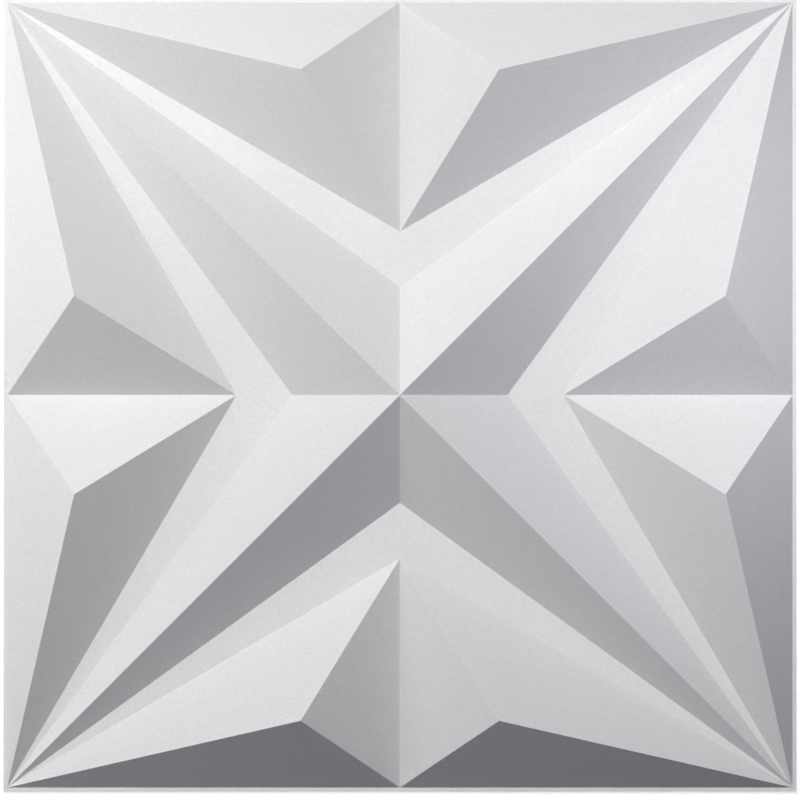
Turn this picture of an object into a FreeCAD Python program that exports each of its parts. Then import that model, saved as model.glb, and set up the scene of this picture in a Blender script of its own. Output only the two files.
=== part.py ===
import FreeCAD, Part

import os

# A square relief tile for a wall, thermoformed from one flat plastic sheet.
# It lies on its back with the relief up. The origin is the middle of the back,
# on the plane of the wall, and Z points out of the wall.

# Driving dimensions, in millimetres
tile_side = 500.0  # outer edge to outer edge
sheet_thickness = 1.0  # measured square to the sheet, the same all over
rim_width = 2.5  # flat rim between the outer edge and the relief
star_height = 29.0  # apex of the star above the flat ground
star_notch = 68.0  # middle of the tile to the inward corners of the star
peak_height = 29.0  # peaks beside each edge, above the flat ground
peak_inset = 42.5  # edge of the relief to a peak
peak_offset = 62.5  # peak to the valley between the two peaks of an edge
valley_length = 144.5  # edge of the relief to the inner end of that valley

# Worked out from the driving dimensions
relief_half = tile_side / 2 - rim_width
ground = sheet_thickness  # height of the flat ground's top face
quarter_turns = (0, 90, 180, 270)


def point(x, y, z):
    return FreeCAD.Vector(x, y, z)


def intersect(first, second, third):
    """The point where three planes meet. A plane is its unit normal and its distance along it."""
    (n1, d1), (n2, d2), (n3, d3) = first, second, third
    across = n2.cross(n3)
    return (across * d1 + n3.cross(n1) * d2 + n1.cross(n2) * d3) * (1 / n1.dot(across))


def facet_planes(corners, apex):
    """The plane of each side facet of a pyramid, with its normal pointing up and out."""
    planes = []
    for start, end in zip(corners, corners[1:] + corners[:1]):
        normal = (end - start).cross(apex - start).normalize()
        planes.append((normal, normal.dot(start)))
    return planes


def pyramid(corners, apex):
    """A solid from a base outline, anticlockwise seen from above, up to an apex."""
    base = Part.Face(Part.makePolygon(corners + corners[:1]))
    sides = [
        Part.Face(Part.makePolygon([start, end, apex, start]))
        for start, end in zip(corners, corners[1:] + corners[:1])
    ]
    return Part.Solid(Part.Shell([base] + sides))


def hollow(corners, apex):
    """The open space behind a pyramid: its facets moved in by the sheet, down to the wall plane."""
    wall = (point(0, 0, 1), 0.0)
    inner = [(normal, distance - sheet_thickness) for normal, distance in facet_planes(corners, apex)]
    feet = [intersect(inner[i - 1], inner[i], wall) for i in range(len(inner))]
    return pyramid(feet, intersect(*inner[:3]))


def turned(outline, degrees):
    """The same points turned about the middle of the tile."""
    turn = FreeCAD.Rotation(point(0, 0, 1), degrees)
    return [turn.multVec(corner) for corner in outline]


def mirrored(outline):
    """The same points mirrored left to right, in reverse order so that they still run anticlockwise."""
    return [point(-corner.x, corner.y, corner.z) for corner in reversed(outline)]


def star_outline():
    """The eight corners of the star: one in each corner of the relief, with a notch between each two."""
    arm = [
        point(relief_half, -relief_half, ground),
        point(star_notch, 0, ground),
    ]
    return [corner for degrees in quarter_turns for corner in turned(arm, degrees)]


def edge_pyramids():
    """The eight three-sided pyramids, in mirrored pairs that meet in a valley at the middle of each edge."""
    valley_mouth = point(0, relief_half, ground)
    valley_end = point(0, relief_half - valley_length, ground)
    relief_corner = point(relief_half, relief_half, ground)
    peak = point(peak_offset, relief_half - peak_inset, ground + peak_height)
    right = [valley_mouth, valley_end, relief_corner]
    left = mirrored(right)
    pairs = []
    for degrees in quarter_turns:
        pairs.append((turned(right, degrees), turned([peak], degrees)[0]))
        pairs.append((turned(left, degrees), turned(mirrored([peak]), degrees)[0]))
    return pairs


def panel():
    """The flat sheet with every raised form added to its face and hollowed from its back."""
    star_apex = point(0, 0, ground + star_height)
    forms = [(star_outline(), star_apex)] + edge_pyramids()
    corner = point(-tile_side / 2, -tile_side / 2, 0)
    sheet = Part.makeBox(tile_side, tile_side, sheet_thickness, corner)
    raised = sheet.fuse([pyramid(outline, apex) for outline, apex in forms])
    return raised.cut([hollow(outline, apex) for outline, apex in forms]).removeSplitter()


os.makedirs("parts", exist_ok=True)
tile = panel().Solids[0]
tile.exportStep("parts/panel.step")
print("valid", tile.isValid(), "faces", len(tile.Faces), "volume", round(tile.Volume, 1))
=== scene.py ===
# %% [markdown]
# # A square relief tile in matte white plastic
#
# The tile is one sheet of rigid PVC, a millimetre thick. A press warms the sheet and draws it
# over a mould, so every form on the front has its hollow on the back. The relief is a star of
# eight facets in the middle, eight three-sided pyramids beside the edges, and a flat ground
# between them that ends in a thin flat rim.
#
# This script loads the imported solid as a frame, models the tile again with rounded folds and a
# true hollow back, gives it its three finishes, and sets up the floor, the light and the camera.

import math

import bmesh
import bpy
from mathutils import Matrix, Vector


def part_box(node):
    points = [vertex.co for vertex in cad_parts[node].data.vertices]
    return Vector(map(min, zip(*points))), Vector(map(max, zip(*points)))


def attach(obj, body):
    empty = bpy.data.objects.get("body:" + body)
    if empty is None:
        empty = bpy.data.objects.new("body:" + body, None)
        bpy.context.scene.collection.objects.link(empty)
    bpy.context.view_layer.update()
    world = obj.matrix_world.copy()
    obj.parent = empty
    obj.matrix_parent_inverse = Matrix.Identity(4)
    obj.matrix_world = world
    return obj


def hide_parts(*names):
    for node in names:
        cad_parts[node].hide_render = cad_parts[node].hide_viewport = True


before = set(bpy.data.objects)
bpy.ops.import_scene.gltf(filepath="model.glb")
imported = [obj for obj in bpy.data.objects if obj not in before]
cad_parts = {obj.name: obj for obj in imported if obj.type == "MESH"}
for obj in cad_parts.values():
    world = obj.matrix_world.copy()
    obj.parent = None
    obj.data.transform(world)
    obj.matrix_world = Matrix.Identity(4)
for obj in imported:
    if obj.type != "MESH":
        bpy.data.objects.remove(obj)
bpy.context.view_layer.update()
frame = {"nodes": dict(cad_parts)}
tile_low, tile_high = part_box("panel")
print("solids in the frame:", ", ".join(frame["nodes"]))
print("the tile reaches from", [round(x, 4) for x in tile_low])
print("to", [round(x, 4) for x in tile_high])

# %% [markdown]
# ## Sizes
#
# All sizes are in metres. The outline and the full height are read from the solid, so the two
# can't drift apart. The rest are the sizes that a mould maker would write on the drawing.
#
# The pattern repeats eight times: four times round the middle, and each quarter is mirrored
# about the middle of its edge. So one eighth of the tile, a slim triangle from the middle to
# one corner, holds every point that the relief needs.

# %% Sizes and the points of one eighth
tile_half = tile_high.x
sheet = 0.001
rim_width = 0.0025
notch_distance = 0.068
valley_length = 0.1445
peak_offset = 0.0625
peak_inset = 0.0425
relief_half = tile_half - rim_width

star_tip = Vector((0, 0, tile_high.z))
star_notch = Vector((0, notch_distance, sheet))
relief_corner = Vector((relief_half, relief_half, sheet))
valley_mouth = Vector((0, relief_half, sheet))
valley_end = Vector((0, relief_half - valley_length, sheet))
peak = Vector((peak_offset, relief_half - peak_inset, tile_high.z))
print("relief half width", round(relief_half, 4), "star tip at", round(star_tip.z, 4))

# %% [markdown]
# ## Working in edit mode from a script
#
# An operator acts on whatever is selected. So each step first selects nothing, then picks the
# faces, edges or corners that it wants by their place, and then calls the operator. A few small
# helpers do that, leave edit mode again, and cut the mesh with an upright plane.

# %% Helpers for edit mode
def edit(piece):
    """Opens one piece in edit mode with nothing selected, and returns its mesh for selecting."""
    if bpy.context.mode != "OBJECT":
        bpy.ops.object.mode_set(mode="OBJECT")
    bpy.ops.object.select_all(action="DESELECT")
    piece.select_set(True)
    bpy.context.view_layer.objects.active = piece
    bpy.ops.object.mode_set(mode="EDIT")
    bpy.ops.mesh.select_mode(type="VERT")
    bpy.ops.mesh.select_all(action="DESELECT")
    return bmesh.from_edit_mesh(piece.data)


def pick_corner(mesh, place):
    """Selects the corner nearest to a place, and returns where it is."""
    corner = min(mesh.verts, key=lambda vertex: (vertex.co - place).length)
    corner.select_set(True)
    mesh.select_flush_mode()
    return corner.co.copy()


def cut(start, end, clear_right=False):
    """Cuts the mesh along the upright plane through two points."""
    right = (end - start).cross(Vector((0, 0, 1)))
    bpy.ops.mesh.select_all(action="SELECT")
    bpy.ops.mesh.bisect(plane_co=start, plane_no=right, clear_outer=clear_right)


def close_up(gap=None):
    """Merges doubles if a gap is given, turns all faces outwards and leaves edit mode."""
    bpy.ops.mesh.select_all(action="SELECT")
    if gap:
        bpy.ops.mesh.remove_doubles(threshold=gap)
    bpy.ops.mesh.normals_make_consistent(inside=False)
    bpy.ops.object.mode_set(mode="OBJECT")


# %% [markdown]
# ## One eighth of the sheet, still flat
#
# The real sheet starts flat, and so does the model. A plane covers one quarter of the tile. A
# bisect along the diagonal keeps the half of it above the diagonal. Three more cuts draw the
# folds: the edge of the relief, the edge of the star and the foot of the pyramid. Each of them
# runs right across the eighth, so the bisect operator gives exact lines with no spare corners.

# %% Cut the flat eighth
bpy.ops.object.select_all(action="DESELECT")
bpy.ops.mesh.primitive_plane_add(size=tile_half, location=(tile_half / 2, tile_half / 2, sheet))
tile = bpy.context.object
tile.name = "relief_tile"
bpy.ops.object.transform_apply(location=True, rotation=False, scale=False)
edit(tile)
cut(Vector((0, 0, 0)), relief_corner * Vector((1, 1, 0)), clear_right=True)
cut(valley_mouth, relief_corner)
cut(star_notch, relief_corner)
cut(valley_end, relief_corner)
bpy.ops.object.mode_set(mode="OBJECT")
print("faces in the flat eighth:", len(tile.data.polygons))

# %% [markdown]
# ## Raising the folds
#
# A pyramid could be a cone primitive set into the sheet, but then its foot would have to be
# joined to the sheet by hand. Poking is simpler: the poke operator puts one corner in the
# middle of a face and joins it to all the others, and that corner is then pulled up to the
# peak. The tip of the star is already a corner of the sheet, so it only has to rise.

# %% Raise the peak and the star
mesh = edit(tile)
foot = (valley_mouth + valley_end + relief_corner) / 3
triangle = min(mesh.faces, key=lambda face: (face.calc_center_median() - foot).length)
triangle.select_set(True)
bpy.ops.mesh.poke(center_mode="MEDIAN")

mesh = edit(tile)
start = pick_corner(mesh, foot)
bpy.ops.transform.translate(value=peak - start)

mesh = edit(tile)
start = pick_corner(mesh, Vector((0, 0, sheet)))
bpy.ops.transform.translate(value=star_tip - start)
bpy.ops.object.mode_set(mode="OBJECT")
print("faces in the raised eighth:", len(tile.data.polygons))

# %% [markdown]
# ## From one eighth to the whole sheet
#
# The mirror modifier makes the other half of the quarter, and welds the seam in the middle of
# the edge. The spin operator with duplicates turns four such quarters round the middle, which
# is what a mould maker does with one master block. Merging by distance closes the seams.

# %% Mirror and spin
weld = 0.000002


def spin_round(piece):
    """Repeats a piece four times round the middle of the tile."""
    edit(piece)
    bpy.ops.mesh.select_all(action="SELECT")
    bpy.ops.mesh.spin(steps=4, dupli=True, angle=math.tau, center=(0, 0, 0), axis=(0, 0, 1))
    close_up(gap=weld)


mirror = tile.modifiers.new("mirror", "MIRROR")
mirror.use_mirror_merge = True
mirror.merge_threshold = weld
bpy.context.view_layer.objects.active = tile
bpy.ops.object.modifier_apply(modifier=mirror.name)
spin_round(tile)
print("whole sheet:", len(tile.data.polygons), "faces,", len(tile.data.vertices), "corners")

# %% [markdown]
# ## Rounded folds
#
# Warm plastic can't fold to a knife edge. On the real tile each fold is an arc about half a
# millimetre wide, which catches a thin line of light. The bevel operator replaces each fold by
# such an arc and also knits the corners where several folds meet. A bevel modifier would do the
# same, but it chooses its edges by one angle, while the operator takes just the picked edges, so
# that later the edges round a hollow's tip can be rounded and its feet left sharp.

# %% Round every fold of the front
arc_steps = 4
round_profile = 0.5
fold_reach = 0.00025


def pick_folds(mesh, least_angle=1, at=None):
    """Selects the edges where two faces turn by more than an angle, all or those at one corner."""
    folds = [edge for edge in mesh.edges if len(edge.link_faces) == 2]
    folds = [edge for edge in folds if math.degrees(edge.calc_face_angle()) > least_angle]
    if at:
        folds = [edge for edge in folds if any((corner.co - at).length < weld for corner in edge.verts)]
    bpy.ops.mesh.select_mode(type="EDGE")
    for edge in folds:
        edge.select_set(True)
    return len(folds)


def round_off(reach):
    """Replaces the selected edges by arcs that reach so far to each side of them."""
    bpy.ops.mesh.bevel(
        offset=reach, offset_type="OFFSET", segments=arc_steps, profile=round_profile, clamp_overlap=False
    )


mesh = edit(tile)
print("folds on the front:", pick_folds(mesh))
round_off(fold_reach)
bpy.ops.object.mode_set(mode="OBJECT")

# %% [markdown]
# ## The corners where nine folds meet
#
# In each corner of the relief nine folds come together so narrowly that their arcs would cross.
# There the arcs run out to nothing in the mould too. So the knot of small faces that the bevel
# leaves in such a corner is scaled to nothing about the corner point and merged. A limit on the
# bevel's width would also avoid the crossing, but it would thin every fold along its whole length.
# The tile's own corner lies within the same reach, so only points inside the rim are gathered.

# %% Gather the knot in each corner
knot_reach = 0.0075
rim_middle = tile_half - rim_width / 2
quarter = Matrix.Rotation(math.tau / 4, 3, "Z")
corner = relief_corner.copy()
for turn in range(4):
    mesh = edit(tile)
    inside = [place for place in mesh.verts if max(abs(place.co.x), abs(place.co.y)) < rim_middle]
    for place in inside:
        place.select_set((place.co - corner).length < knot_reach)
    mesh.select_flush_mode()
    bpy.ops.transform.resize(value=(0, 0, 0), center_override=corner)
    corner = quarter @ corner
bpy.ops.mesh.select_all(action="SELECT")
bpy.ops.mesh.remove_doubles(threshold=weld)
bpy.ops.object.mode_set(mode="OBJECT")
print("mesh corners of the rounded sheet:", len(tile.data.vertices))

# %% [markdown]
# ## A back to the sheet
#
# Solidify would give the sheet its thickness in one step, but where nine folds meet in a corner
# it moves points along averaged normals, and there the inner side would pass through itself. So
# the tile is first made solid: the open border is pulled down by one sheet to the plane of the
# wall and filled with one face. The hollows are then cut out of it from behind. The trimmed
# outer edges lose a hair's breadth, because a knife-sharp edge never catches the light.

# %% Close the tile down to the wall plane
edit(tile)
bpy.ops.mesh.select_mode(type="EDGE")
bpy.ops.mesh.select_non_manifold()
bpy.ops.mesh.extrude_region_move(TRANSFORM_OT_translate={"value": (0, 0, -sheet)})
bpy.ops.mesh.edge_face_add()
close_up()

trimmed_reach = 0.00012
mesh = edit(tile)
print("trimmed edges:", pick_folds(mesh, least_angle=60))
round_off(trimmed_reach)
bpy.ops.object.mode_set(mode="OBJECT")
print("faces of the closed tile:", len(tile.data.polygons))

# %% [markdown]
# ## Where the hollows lie
#
# Behind each facet the sheet is one millimetre thick, measured square to the facet. So the
# inner face of a facet is the same plane, moved in by that much. Three such planes meet in one
# point, and that gives the corners of each hollow: its top from three inner faces, and its feet
# from two inner faces and a level just behind the wall plane, so that the cut goes clean through.

# %% Planes and the points where they meet
def inner_face(first, second, third):
    """The inner side of the facet through three points: its upward normal and its distance."""
    normal = (second - first).cross(third - first).normalized()
    return normal, normal.dot(first) - sheet


def meet(*planes):
    """The point that three planes share."""
    normals = Matrix([normal for normal, distance in planes])
    return normals.inverted() @ Vector([distance for normal, distance in planes])


def left_right(place):
    """The same place on the other side of the middle line."""
    return Vector((-place.x, place.y, place.z))


def across_diagonal(place):
    """The same place on the other side of the diagonal."""
    return Vector((place.y, place.x, place.z))


behind_wall = 0.0005
wall = (Vector((0, 0, 1)), -behind_wall)
arm_side = inner_face(star_tip, relief_corner, star_notch)
arm_side_left = inner_face(star_tip, star_notch, left_right(relief_corner))
arm_side_below = inner_face(star_tip, across_diagonal(star_notch), relief_corner)
outer_side = inner_face(valley_mouth, peak, relief_corner)
valley_side = inner_face(valley_mouth, valley_end, peak)
ground_side = inner_face(valley_end, relief_corner, peak)

star_hollow_tip = meet(arm_side, arm_side_left, arm_side_below)
notch_foot = meet(arm_side, arm_side_left, wall)
arm_foot = meet(arm_side, arm_side_below, wall)
peak_hollow_tip = meet(outer_side, valley_side, ground_side)
peak_feet = [
    meet(outer_side, valley_side, wall),
    meet(valley_side, ground_side, wall),
    meet(ground_side, outer_side, wall),
]
print("the star's hollow is", round(star_hollow_tip.z, 4), "deep")
print("the hollow of a peak is", round(peak_hollow_tip.z, 4), "deep")

# %% [markdown]
# ## The hollows
#
# A hollow is a pyramid, so a cone primitive with as many sides as the pyramid is the natural
# start: eight for the star and three for a peak. Its corners are then moved to the points found
# above. The star's eight feet lie far out and close in by turns. The folds of a hollow are
# rounded like those of the front, but its feet aren't, because they are cut off by the wall plane.

# %% Model the two kinds of hollow
def hollow(name, feet, tip, start_size=0.01):
    """A pyramid-shaped cutter from its feet, in any order, up to its tip, with its folds rounded."""
    bpy.ops.object.select_all(action="DESELECT")
    bpy.ops.mesh.primitive_cone_add(vertices=len(feet), radius1=start_size, depth=start_size)
    cutter = bpy.context.object
    cutter.name = name
    places = sorted([corner.co.copy() for corner in cutter.data.vertices], key=lambda place: place.z)
    ring = sorted(places[:-1], key=lambda place: math.atan2(place.y, place.x))
    middle = sum(feet, Vector()) / len(feet)
    feet = sorted(feet, key=lambda foot: math.atan2(foot.y - middle.y, foot.x - middle.x))
    for start, end in zip(ring + places[-1:], feet + [tip]):
        mesh = edit(cutter)
        pick_corner(mesh, start)
        bpy.ops.transform.translate(value=end - start)
    mesh = edit(cutter)
    pick_folds(mesh, at=tip)
    round_off(fold_reach)
    close_up()
    return cutter


star_feet = [notch_foot, arm_foot]
for turn in range(3):
    star_feet += [quarter @ foot for foot in star_feet[-2:]]
star_hollow = hollow("star_hollow", star_feet, star_hollow_tip)
peak_hollow = hollow("peak_hollow", peak_feet, peak_hollow_tip)
print("corners of the star's hollow:", len(star_hollow.data.vertices))

# %% [markdown]
# ## Cutting the hollows
#
# Each edge of the tile has a right-hand and a left-hand peak. The right-hand hollow is spun into
# four, and its mirror image makes the other four. They are cut as two separate sets, because
# neighbours from both sets cross just below the wall plane, and a boolean wants cutters that
# don't cross themselves. The exact solver is slower than the fast one, but keeps the sheet closed.

# %% Repeat the peak's hollow and cut everything out of the tile
spin_round(peak_hollow)
bpy.ops.object.select_all(action="DESELECT")
peak_hollow.select_set(True)
bpy.ops.object.duplicate()
left_hollow = bpy.context.object
edit(left_hollow)
bpy.ops.mesh.select_all(action="SELECT")
bpy.ops.transform.mirror(constraint_axis=(True, False, False), center_override=(0, 0, 0))
close_up()

for cutter in (star_hollow, peak_hollow, left_hollow):
    boolean = tile.modifiers.new("hollow", "BOOLEAN")
    boolean.operation = "DIFFERENCE"
    boolean.solver = "EXACT"
    boolean.object = cutter
    bpy.context.view_layer.objects.active = tile
    bpy.ops.object.modifier_apply(modifier=boolean.name)
    bpy.data.objects.remove(cutter)

mesh = edit(tile)
print("open edges:", sum(not edge.is_manifold for edge in mesh.edges))
print("plastic in the sheet, cubic centimetres:", round(mesh.calc_volume() * 1e6, 1))
bpy.ops.object.mode_set(mode="OBJECT")

# %% [markdown]
# ## Shading that keeps the facets flat
#
# The facets of the real tile are flat and only the folds between them are round. With smooth
# shading alone, each facet would look a little domed, because its corners share their normals
# with the folds. The weighted normal modifier gives each shared normal to the larger face, so
# only the narrow arcs shade from one facet to the next. Where many faces share one corner, as
# in the corners of the relief and at the feet of the hollows, it still mixes them, so there
# each facet is given its own normal back.

# %% Smooth the folds and keep the facets flat
smooth_below = math.radians(20)
bpy.ops.object.select_all(action="DESELECT")
tile.select_set(True)
bpy.context.view_layer.objects.active = tile
bpy.ops.object.shade_smooth_by_angle(angle=smooth_below)
weighted = tile.modifiers.new("flat_facets", "WEIGHTED_NORMAL")
weighted.mode = "FACE_AREA"
weighted.weight = 100
weighted.keep_sharp = True
bpy.ops.object.modifier_apply(modifier=weighted.name)

least_facet = 0.00006
shape = tile.data
shading = [corner.vector.copy() for corner in shape.corner_normals]
for face in shape.polygons:
    for loop in face.loop_indices:
        place = shape.vertices[shape.loops[loop].vertex_index].co
        corner = Vector((math.copysign(relief_half, place.x), math.copysign(relief_half, place.y), sheet))
        if face.area > least_facet or (place - corner).length < weld:
            shading[loop] = face.normal.copy()
shape.normals_split_custom_set(shading)

tilts = []
for face in shape.polygons:
    if face.area > least_facet:
        tilts += [face.normal.angle(shape.corner_normals[loop].vector) for loop in face.loop_indices]
print("smooth faces:", sum(face.use_smooth for face in shape.polygons))
print("most that a facet's shading tilts, degrees:", round(math.degrees(max(tilts)), 3))

# %% [markdown]
# ## Nodes for matte plastic
#
# All three surfaces of the tile are the same white PVC, and differ only in finish. Each one is
# a Principled shader with two patterns on it. A fine grain, less than two millimetres across
# on the front, is a bump and a faint change of colour. A broad, slow change in roughness stands
# for the way a warm sheet stretches unevenly. Both are noise on Object coordinates, so they stay
# with the plastic when the tile is turned or looked at from another side.
#
# A noise seldom goes far from its middle, one half. So the stretch from 0.3 to 0.7 is spread
# over the whole change of colour or of roughness.

# %% Helpers that build one finish
noise_low = 0.3
noise_high = 0.7
patches_per_metre = 9
roughness_change = 0.03


def noise(finish, place, scale, detail, roughness=0.5):
    """Adds a noise that follows the given coordinates, and returns its value."""
    pattern = finish.node_tree.nodes.new("ShaderNodeTexNoise")
    pattern.inputs["Scale"].default_value = scale
    pattern.inputs["Detail"].default_value = detail
    pattern.inputs["Roughness"].default_value = roughness
    finish.node_tree.links.new(place, pattern.inputs["Vector"])
    return pattern.outputs["Fac"]


def matte_finish(name, colour, roughness, grain_size, grain_depth, mottle, stretch=(1, 1, 1)):
    """A matte plastic with a fine grain. The mottle is how far the colour strays, up or down."""
    finish = bpy.data.materials.new(name)
    finish.use_nodes = True
    nodes = finish.node_tree.nodes
    links = finish.node_tree.links
    nodes.clear()
    output = nodes.new("ShaderNodeOutputMaterial")
    plastic = nodes.new("ShaderNodeBsdfPrincipled")
    plastic.inputs["IOR"].default_value = 1.5
    links.new(plastic.outputs["BSDF"], output.inputs["Surface"])

    place = nodes.new("ShaderNodeTexCoord").outputs["Object"]
    stretched = nodes.new("ShaderNodeMapping")
    stretched.inputs["Scale"].default_value = stretch
    links.new(place, stretched.inputs["Vector"])
    grain = noise(finish, stretched.outputs["Vector"], 1 / grain_size, detail=3, roughness=0.6)
    patches = noise(finish, place, patches_per_metre, detail=1)

    tint = nodes.new("ShaderNodeValToRGB")
    darkest, palest = tint.color_ramp.elements
    darkest.position = noise_low
    darkest.color = [channel * (1 - mottle) for channel in colour] + [1]
    palest.position = noise_high
    palest.color = [channel * (1 + mottle) for channel in colour] + [1]
    links.new(grain, tint.inputs["Fac"])
    links.new(tint.outputs["Color"], plastic.inputs["Base Color"])

    sheen = nodes.new("ShaderNodeMapRange")
    sheen.inputs["From Min"].default_value = noise_low
    sheen.inputs["From Max"].default_value = noise_high
    sheen.inputs["To Min"].default_value = roughness - roughness_change
    sheen.inputs["To Max"].default_value = roughness + roughness_change
    links.new(patches, sheen.inputs["Value"])
    links.new(sheen.outputs["Result"], plastic.inputs["Roughness"])

    bump = nodes.new("ShaderNodeBump")
    bump.inputs["Distance"].default_value = grain_depth
    bump.inputs["Strength"].default_value = 1
    links.new(grain, bump.inputs["Height"])
    links.new(bump.outputs["Normal"], plastic.inputs["Normal"])
    return finish


# %% [markdown]
# ## Three finishes of one plastic
#
# The front takes the fine spark-eroded grain of the mould. The back never touches the mould, so
# it is smoother and a little shinier, and it stays a shade greyer. The edge is trimmed after
# forming, and the cutter leaves fine upright streaks. One material could mix all three by the
# way a face points, but three plain ones are easier to read and to change.

# %% Make the three finishes
front_finish = matte_finish(
    "matte_white_front",
    colour=(0.84, 0.84, 0.84),
    roughness=0.5,
    grain_size=0.0017,
    grain_depth=0.0001,
    mottle=0.045,
)
back_finish = matte_finish(
    "smooth_white_back",
    colour=(0.81, 0.81, 0.81),
    roughness=0.38,
    grain_size=0.004,
    grain_depth=0.00002,
    mottle=0.006,
)
edge_finish = matte_finish(
    "trimmed_edge",
    colour=(0.83, 0.83, 0.83),
    roughness=0.6,
    grain_size=0.0008,
    grain_depth=0.00004,
    mottle=0.02,
    stretch=(1, 1, 0.1),
)
tile.data.materials.clear()
for finish in (front_finish, back_finish, edge_finish):
    tile.data.materials.append(finish)
print("finishes on the tile:", len(tile.data.materials))

# %% [markdown]
# ## Which face takes which finish
#
# Three materials on one mesh are simpler than three objects here, because the sheet is one
# piece. Every face of the front slopes at least a little upwards and every face of the back
# downwards, and only the trimmed edge is upright. So each face finds its finish by the way it
# points: the faces are selected by their normals, and the operator assigns the material slot.

# %% Give each face its finish
nearly_upright = 0.01
facing = (
    lambda face: face.normal.z > nearly_upright,
    lambda face: face.normal.z < -nearly_upright,
    lambda face: abs(face.normal.z) <= nearly_upright,
)
for slot, belongs in enumerate(facing):
    mesh = edit(tile)
    bpy.ops.mesh.select_mode(type="FACE")
    chosen = [face for face in mesh.faces if belongs(face)]
    for face in chosen:
        face.select_set(True)
    tile.active_material_index = slot
    bpy.ops.object.material_slot_assign()
    print(tile.data.materials[slot].name, "on", len(chosen), "faces")
bpy.ops.object.mode_set(mode="OBJECT")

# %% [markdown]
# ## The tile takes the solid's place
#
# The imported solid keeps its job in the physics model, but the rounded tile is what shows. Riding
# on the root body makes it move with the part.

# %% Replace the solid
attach(tile, "root")
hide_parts("panel")
print("the tile stands for the solid panel")

# %% [markdown]
# ## The floor
#
# The tile lies on a plain white floor. To the camera, and in anything that reflects it, the
# floor glows just enough to come out as pure white, and yet the tile's shadow still darkens it,
# because the glow is added to an ordinary diffuse white instead of replacing it. More light on
# the floor would make it white as well, but the tile would lose its shades.

# %% Floor
def seen_directly(nodes, links):
    """One for rays from the camera, from reflections and through clear things, and else zero."""
    path = nodes.new("ShaderNodeLightPath")
    total = path.outputs["Is Camera Ray"]
    for ray in ("Is Glossy Ray", "Is Transmission Ray"):
        either = nodes.new("ShaderNodeMath")
        either.operation = "MAXIMUM"
        links.new(total, either.inputs[0])
        links.new(path.outputs[ray], either.inputs[1])
        total = either.outputs["Value"]
    return total


floor_size = 120
floor_gap = 0.0002
floor_glow = 0.72
bpy.ops.object.select_all(action="DESELECT")
bpy.ops.mesh.primitive_plane_add(size=floor_size, location=(0, 0, -floor_gap))
floor = bpy.context.object
floor.name = "floor"
bpy.ops.object.transform_apply(location=True, rotation=False, scale=False)
floor_white = bpy.data.materials.new("floor_white")
floor_white.use_nodes = True
nodes = floor_white.node_tree.nodes
links = floor_white.node_tree.links
nodes.clear()
output = nodes.new("ShaderNodeOutputMaterial")
paint = nodes.new("ShaderNodeBsdfDiffuse")
paint.inputs["Color"].default_value = (0.8, 0.8, 0.8, 1)
glow = nodes.new("ShaderNodeEmission")
glow_strength = nodes.new("ShaderNodeMath")
glow_strength.operation = "MULTIPLY"
glow_strength.inputs[1].default_value = floor_glow
links.new(seen_directly(nodes, links), glow_strength.inputs[0])
links.new(glow_strength.outputs["Value"], glow.inputs["Strength"])
both = nodes.new("ShaderNodeAddShader")
links.new(paint.outputs["BSDF"], both.inputs[0])
links.new(glow.outputs["Emission"], both.inputs[1])
links.new(both.outputs["Shader"], output.inputs["Surface"])
floor.data.materials.append(floor_white)
print("floor", round(floor.dimensions.x), "m across")

# %% [markdown]
# ## The room
#
# The world does as the floor does: the camera and reflections see white, while the light that
# it sheds is faint and a little blue. A white room that shed its full light would fill every
# shadow, and the facets would hardly differ.

# %% World
room_strength = 0.035
world = bpy.data.worlds.new("studio")
bpy.context.scene.world = world
world.use_nodes = True
nodes = world.node_tree.nodes
links = world.node_tree.links
nodes.clear()
output = nodes.new("ShaderNodeOutputWorld")
room_light = nodes.new("ShaderNodeBackground")
room_light.inputs["Color"].default_value = (0.45, 0.45, 1, 1)
room_light.inputs["Strength"].default_value = room_strength
backdrop = nodes.new("ShaderNodeBackground")
backdrop.inputs["Color"].default_value = (1, 1, 1, 1)
backdrop.inputs["Strength"].default_value = 1
choice = nodes.new("ShaderNodeMixShader")
links.new(seen_directly(nodes, links), choice.inputs["Fac"])
links.new(room_light.outputs["Background"], choice.inputs[1])
links.new(backdrop.outputs["Background"], choice.inputs[2])
links.new(choice.outputs["Shader"], output.inputs["Surface"])
print("room light strength", room_strength)

# %% [markdown]
# ## Soft studio light
#
# Five square area lamps light the tile. The main one stands beyond its top edge, so facets that
# face that edge are nearly white and those that face away are the darkest. A lower one at the
# left lights the facets that the main one only grazes. A small one at the right and a small
# one beyond the top left corner are close by, so their light falls off quickly and lifts only
# the facets near them. Wide lamps have soft shadows, so no hard shadow crosses the relief.
#
# The fifth is a broad panel straight overhead that sheds no diffuse light and shows only as
# sheen. The level ground and the rim mirror it to the camera and the slopes don't, so the ground
# comes out whiter than they do. The cool tone of the dark facets comes from the faint bluish
# light of the room. None of the lamps is seen by the camera, from any side.

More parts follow.
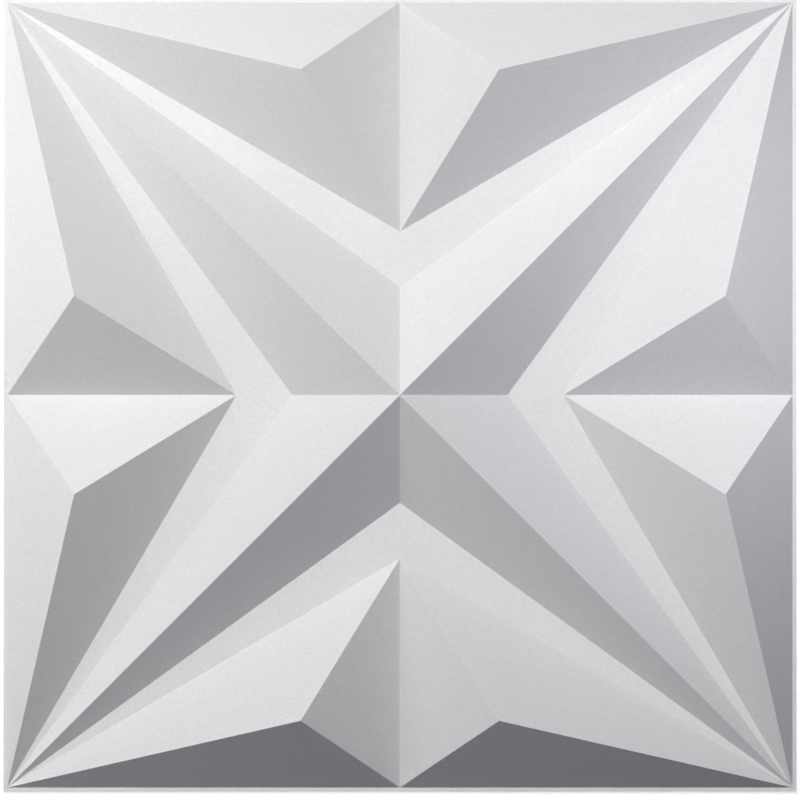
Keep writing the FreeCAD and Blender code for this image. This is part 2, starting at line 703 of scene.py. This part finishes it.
# %% Lamps
def soft_lamp(name, azimuth, elevation, distance, width, watts, colour):
    """A square area lamp that looks at the middle of the tile."""
    around = math.radians(azimuth)
    up = math.radians(elevation)
    direction = Vector((math.cos(up) * math.cos(around), math.cos(up) * math.sin(around), math.sin(up)))
    bpy.ops.object.light_add(type="AREA", location=distance * direction)
    lamp = bpy.context.object
    lamp.name = name
    lamp.rotation_euler = direction.to_track_quat("Z", "Y").to_euler()
    lamp.data.shape = "SQUARE"
    lamp.data.size = width
    lamp.data.energy = watts
    lamp.data.color = colour
    lamp.visible_camera = False
    return lamp


soft_lamp(
    "main_light", azimuth=105, elevation=44, distance=1.7, width=0.6, watts=15.8, colour=(1, 0.995, 0.975)
)
soft_lamp(
    "left_light", azimuth=175, elevation=22, distance=1.2, width=0.42, watts=4.45, colour=(0.985, 0.99, 1)
)
soft_lamp(
    "right_light", azimuth=20, elevation=35, distance=0.45, width=0.16, watts=0.33, colour=(0.91, 0.93, 1)
)
soft_lamp(
    "corner_light", azimuth=135, elevation=35, distance=0.52, width=0.16, watts=0.15, colour=(1, 0.995, 0.98)
)
sheen_panel = soft_lamp(
    "sheen_panel", azimuth=90, elevation=89.5, distance=3.0, width=3.0, watts=210, colour=(1, 0.996, 0.99)
)
sheen_panel.visible_diffuse = False

# %% [markdown]
# ## Camera
#
# The photograph is taken square on from far away, so a long lens keeps the facets undistorted.
# The tile's top rim runs just past the edge of the picture, so the camera sits a touch below
# the middle of the tile, and a hair to the right of it. The lens is worked out from the width
# of the ground that it has to show.

# %% Camera
camera_height = 16.0
view_width = 0.50436
right_of_middle = 0.0001
below_middle = 0.0016
bpy.ops.object.camera_add(location=(right_of_middle, -below_middle, camera_height), rotation=(0, 0, 0))
camera = bpy.context.object
camera.name = "camera"
camera.data.sensor_width = 36
camera.data.lens = camera.data.sensor_width * (camera_height - sheet) / view_width
camera.data.clip_end = 100
bpy.context.scene.camera = camera
print("lens", round(camera.data.lens, 1), "mm")

# %% [markdown]
# ## Finish
#
# Colours go out as they are, with the Standard view.

bpy.context.scene.view_settings.view_transform = "Standard"
